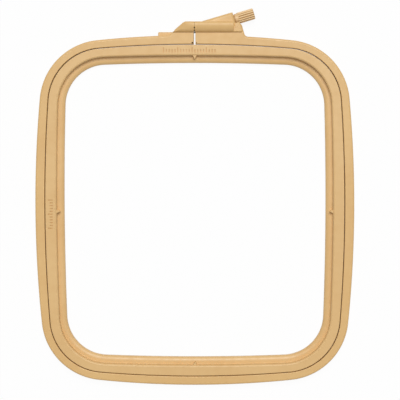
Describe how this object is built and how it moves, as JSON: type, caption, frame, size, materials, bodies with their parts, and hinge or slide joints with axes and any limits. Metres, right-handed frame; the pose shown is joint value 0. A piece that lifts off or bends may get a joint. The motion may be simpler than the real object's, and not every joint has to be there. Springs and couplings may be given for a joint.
{
  "type": "embroidery hoop",
  "caption": "Rectangular moulded embroidery hoop with a split outer ring, an inner ring that lifts out and an inclined tightening screw with a ribbed knob.",
  "frame": {"origin": "middle of the clear opening, on the plane the hoop rests on", "axes": "+X to the right across the opening, +Y towards the clamp block, +Z out of the hoop's face, square to the rings"},
  "size_m": [0.2368, 0.2802, 0.014],
  "materials": {
    "ring_plastic": "moulded satin plastic, beige tan",
    "inner_plastic": "moulded satin plastic, beige tan",
    "knob_plastic": "moulded satin plastic, ribbed",
    "zinc_steel": "zinc plated"
  },
  "bodies": {
    "frame": {"outer_ring": "ring_plastic", "captive_nut": "zinc_steel"},
    "fabric_ring": {"inner_ring": "inner_plastic"},
    "washer": {"thrust_washer": "knob_plastic"},
    "screw": {"clamp_screw": "zinc_steel", "tightening_knob": "knob_plastic"}
  },
  "joints": [
    {"name": "inner_ring_lift", "type": "slide", "parent": "frame", "child": "fabric_ring", "axis": [0, 0, 1], "range_m": [0, 0.02]},
    {"name": "screw_travel", "type": "slide", "parent": "frame", "child": "washer", "axis": [0.9588, 0.284, 0], "range_m": [0, 0.005]},
    {"name": "screw_turn", "type": "hinge", "parent": "washer", "child": "screw", "pos_m": [0.02876, 0.14172, 0.0056], "axis": [0.9588, 0.284, 0], "range_deg": [0, 3600]}
  ],
  "couplings": [
    {"joint": "screw_turn", "follows": "screw_travel", "rad_per_m": 12566}
  ]
}
